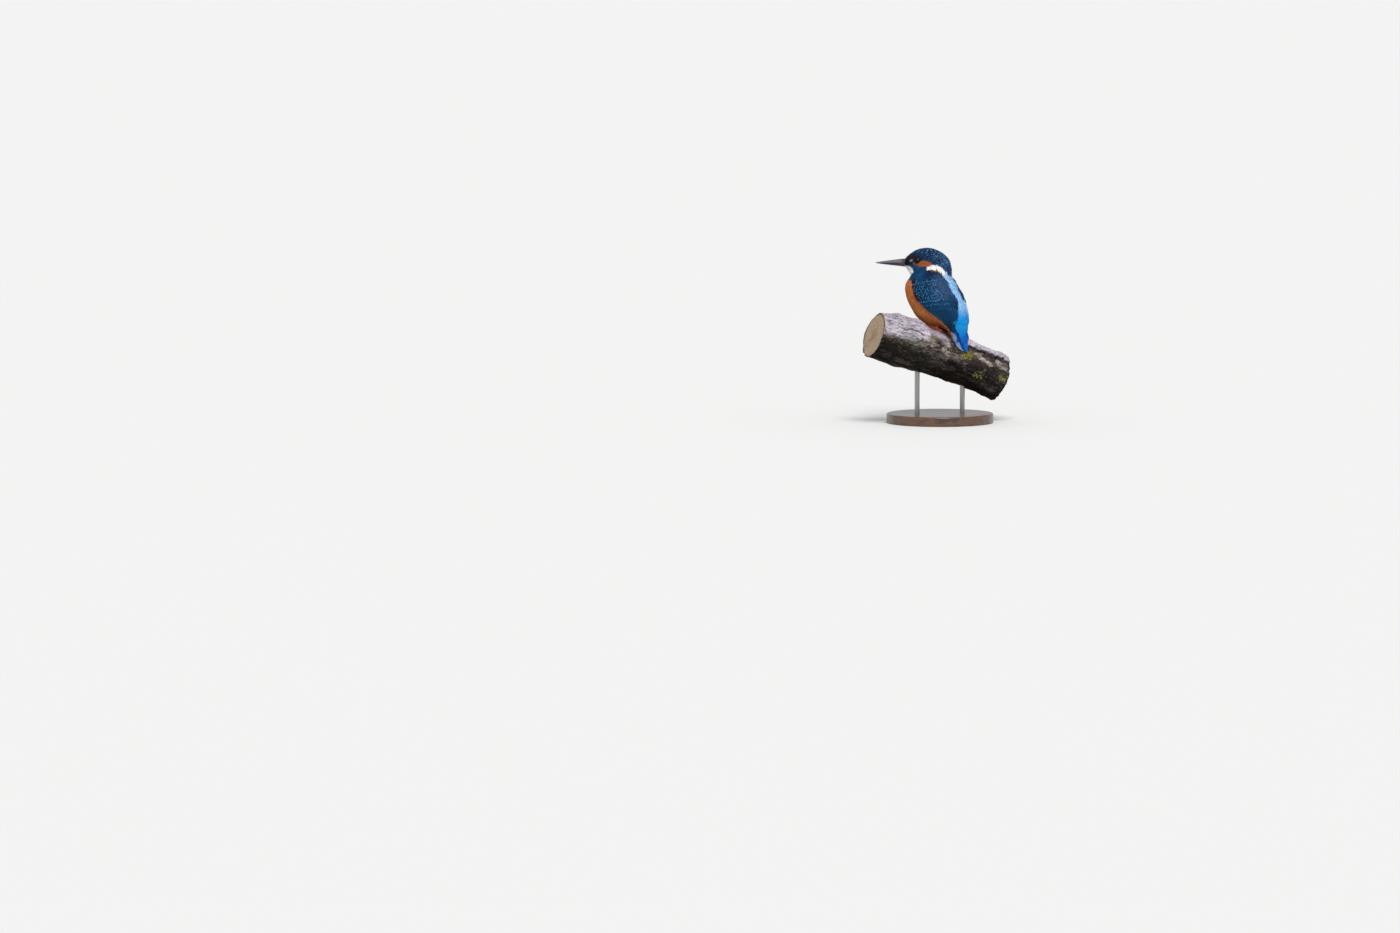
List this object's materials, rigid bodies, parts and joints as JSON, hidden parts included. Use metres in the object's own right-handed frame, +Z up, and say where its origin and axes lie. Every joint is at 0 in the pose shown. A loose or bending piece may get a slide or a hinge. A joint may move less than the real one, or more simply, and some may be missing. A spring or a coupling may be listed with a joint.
{
  "type": "kingfisher",
  "caption": "Still, life-size common kingfisher with a long straight bill, perched on a short cut length of branch held over a flat round base by slim rods.",
  "frame": {"origin": "centre of the flat underside of the stand's base, on the floor", "axes": "+Z up, -X the way the bird's body faces, -Y the bird's left side, where its head is turned"},
  "size_m": [0.1281, 0.1425, 0.1831],
  "materials": {
    "blue_plumage": "matte",
    "azure_plumage": "satin",
    "chestnut_plumage": "matte",
    "wing_plumage": "satin",
    "horn": "satin",
    "eye": "gloss",
    "foot": "satin",
    "bark": "rough bark",
    "stand_wood": "waxed dark wood",
    "stand_steel": "darkened steel"
  },
  "bodies": {
    "root": {"head": "blue_plumage", "neck": "blue_plumage", "trunk": "chestnut_plumage", "tail": "azure_plumage", "undertail_coverts": "chestnut_plumage", "wing_left": "wing_plumage", "wing_right": "wing_plumage", "primaries_left": "wing_plumage", "primaries_right": "wing_plumage", "bill_upper": "horn", "bill_lower": "horn", "eye_left": "eye", "eye_right": "eye", "foot_left": "foot", "foot_right": "foot", "perch_branch": "bark", "stand_base": "stand_wood", "stand_rod_1": "stand_steel", "stand_rod_2": "stand_steel"}
  },
  "joints": []
}
